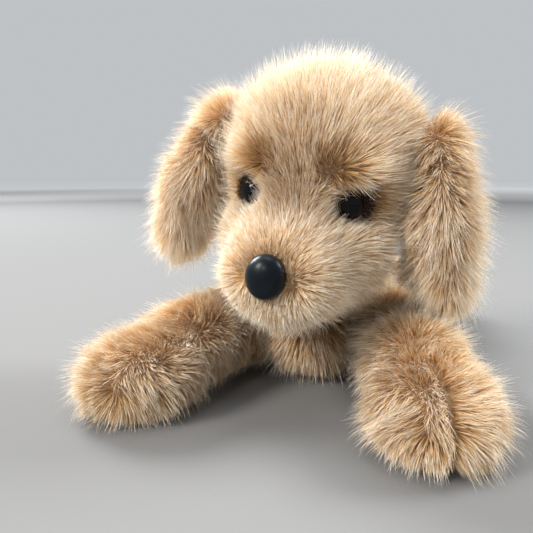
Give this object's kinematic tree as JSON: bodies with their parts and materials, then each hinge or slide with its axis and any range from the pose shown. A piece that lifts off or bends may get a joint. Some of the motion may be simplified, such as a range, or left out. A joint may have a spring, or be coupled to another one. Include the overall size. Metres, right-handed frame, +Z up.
{
  "type": "plush dog",
  "caption": "Lying plush puppy in long-pile golden fur with hanging ears, splayed legs, a soft neck, moulded eyes and nose, and a flat belly to rest on.",
  "frame": {"origin": "middle of the toy's box, on the surface it lies on", "axes": "+Z up, the puppy faces -Y and its left side is +X"},
  "size_m": [0.301, 0.4613, 0.2554],
  "materials": {
    "golden_fur": "long-pile two-tone fur fabric, golden with cream tips",
    "sole_fur": "short-pile golden fur fabric",
    "ear_lining_fur": "long-pile fur fabric, a little darker",
    "polyester_fill": "loose polyester fibre",
    "pellet_bag_cloth": "nonwoven bag filled with plastic pellets",
    "eye_plastic": "polished black with a dark brown iris",
    "nose_plastic": "satin black",
    "washer_plastic": "natural moulded",
    "thread": "golden sewing thread",
    "label_ribbon": "blank white woven ribbon"
  },
  "bodies": {
    "torso": {"torso_left_panel": "golden_fur", "torso_right_panel": "golden_fur", "belly_panel": "golden_fur", "torso_stuffing": "polyester_fill", "belly_pellet_bag": "pellet_bag_cloth", "belly_closing_seam": "thread", "blank_label": "label_ribbon"},
    "neck": {"neck_collar": "golden_fur", "neck_stuffing": "polyester_fill"},
    "head": {"head_left_panel": "golden_fur", "head_right_panel": "golden_fur", "head_centre_gusset": "golden_fur", "chin_panel": "golden_fur", "head_stuffing": "polyester_fill", "left_eye": "eye_plastic", "right_eye": "eye_plastic", "nose": "nose_plastic", "left_eye_washer": "washer_plastic", "right_eye_washer": "washer_plastic", "nose_washer": "washer_plastic"},
    "left_ear": {"left_ear_fur": "golden_fur", "left_ear_lining": "ear_lining_fur"},
    "right_ear": {"right_ear_fur": "golden_fur", "right_ear_lining": "ear_lining_fur"},
    "tail": {"tail_skin": "golden_fur", "tail_stuffing": "polyester_fill"},
    "left_foreleg": {"left_foreleg_outer_panel": "golden_fur", "left_foreleg_inner_panel": "golden_fur", "left_foreleg_sole": "sole_fur", "left_foreleg_stuffing": "polyester_fill", "left_foreleg_pellet_bag": "pellet_bag_cloth"},
    "left_hind_leg": {"left_hind_leg_outer_panel": "golden_fur", "left_hind_leg_inner_panel": "golden_fur", "left_hind_leg_sole": "sole_fur", "left_hind_leg_stuffing": "polyester_fill", "left_hind_leg_pellet_bag": "pellet_bag_cloth"},
    "right_foreleg": {"right_foreleg_outer_panel": "golden_fur", "right_foreleg_inner_panel": "golden_fur", "right_foreleg_sole": "sole_fur", "right_foreleg_stuffing": "polyester_fill", "right_foreleg_pellet_bag": "pellet_bag_cloth"},
    "right_hind_leg": {"right_hind_leg_outer_panel": "golden_fur", "right_hind_leg_inner_panel": "golden_fur", "right_hind_leg_sole": "sole_fur", "right_hind_leg_stuffing": "polyester_fill", "right_hind_leg_pellet_bag": "pellet_bag_cloth"}
  },
  "joints": [
    {"name": "neck_turn", "type": "hinge", "parent": "torso", "child": "neck", "pos_m": [0.006, -0.07534, 0.108], "axis": [0, 0, 1], "range_deg": [-20, 20], "stiffness_Nm_per_rad": 0.4},
    {"name": "head_nod", "type": "hinge", "parent": "neck", "child": "head", "pos_m": [0.006, -0.07534, 0.108], "axis": [-0.9912, 0.0519, 0.1219], "range_deg": [-5, 18], "stiffness_Nm_per_rad": 1.5},
    {"name": "left_ear_lift", "type": "hinge", "parent": "head", "child": "left_ear", "pos_m": [0.07922, -0.0932, 0.2188], "axis": [-0.0523, -0.9986, 0], "range_deg": [0, 75]},
    {"name": "right_ear_lift", "type": "hinge", "parent": "head", "child": "right_ear", "pos_m": [-0.03972, -0.08697, 0.23342], "axis": [0.0523, 0.9986, 0], "range_deg": [0, 75]},
    {"name": "left_foreleg_swing", "type": "hinge", "parent": "torso", "child": "left_foreleg", "pos_m": [0.066, -0.06134, 0.038], "axis": [0, 0, 1], "range_deg": [-6, 16]},
    {"name": "right_foreleg_swing", "type": "hinge", "parent": "torso", "child": "right_foreleg", "pos_m": [-0.066, -0.06134, 0.038], "axis": [0, 0, -1], "range_deg": [-6, 35]},
    {"name": "left_hind_leg_swing", "type": "hinge", "parent": "torso", "child": "left_hind_leg", "pos_m": [0.055, 0.09866, 0.046], "axis": [0, 0, -1], "range_deg": [-2, 40]},
    {"name": "right_hind_leg_swing", "type": "hinge", "parent": "torso", "child": "right_hind_leg", "pos_m": [-0.055, 0.09866, 0.046], "axis": [0, 0, 1], "range_deg": [-2, 40]},
    {"name": "tail_wag", "type": "hinge", "parent": "torso", "child": "tail", "pos_m": [0, 0.13866, 0.08], "axis": [0, 0, 1], "range_deg": [-30, 30], "stiffness_Nm_per_rad": 0.03}
  ]
}
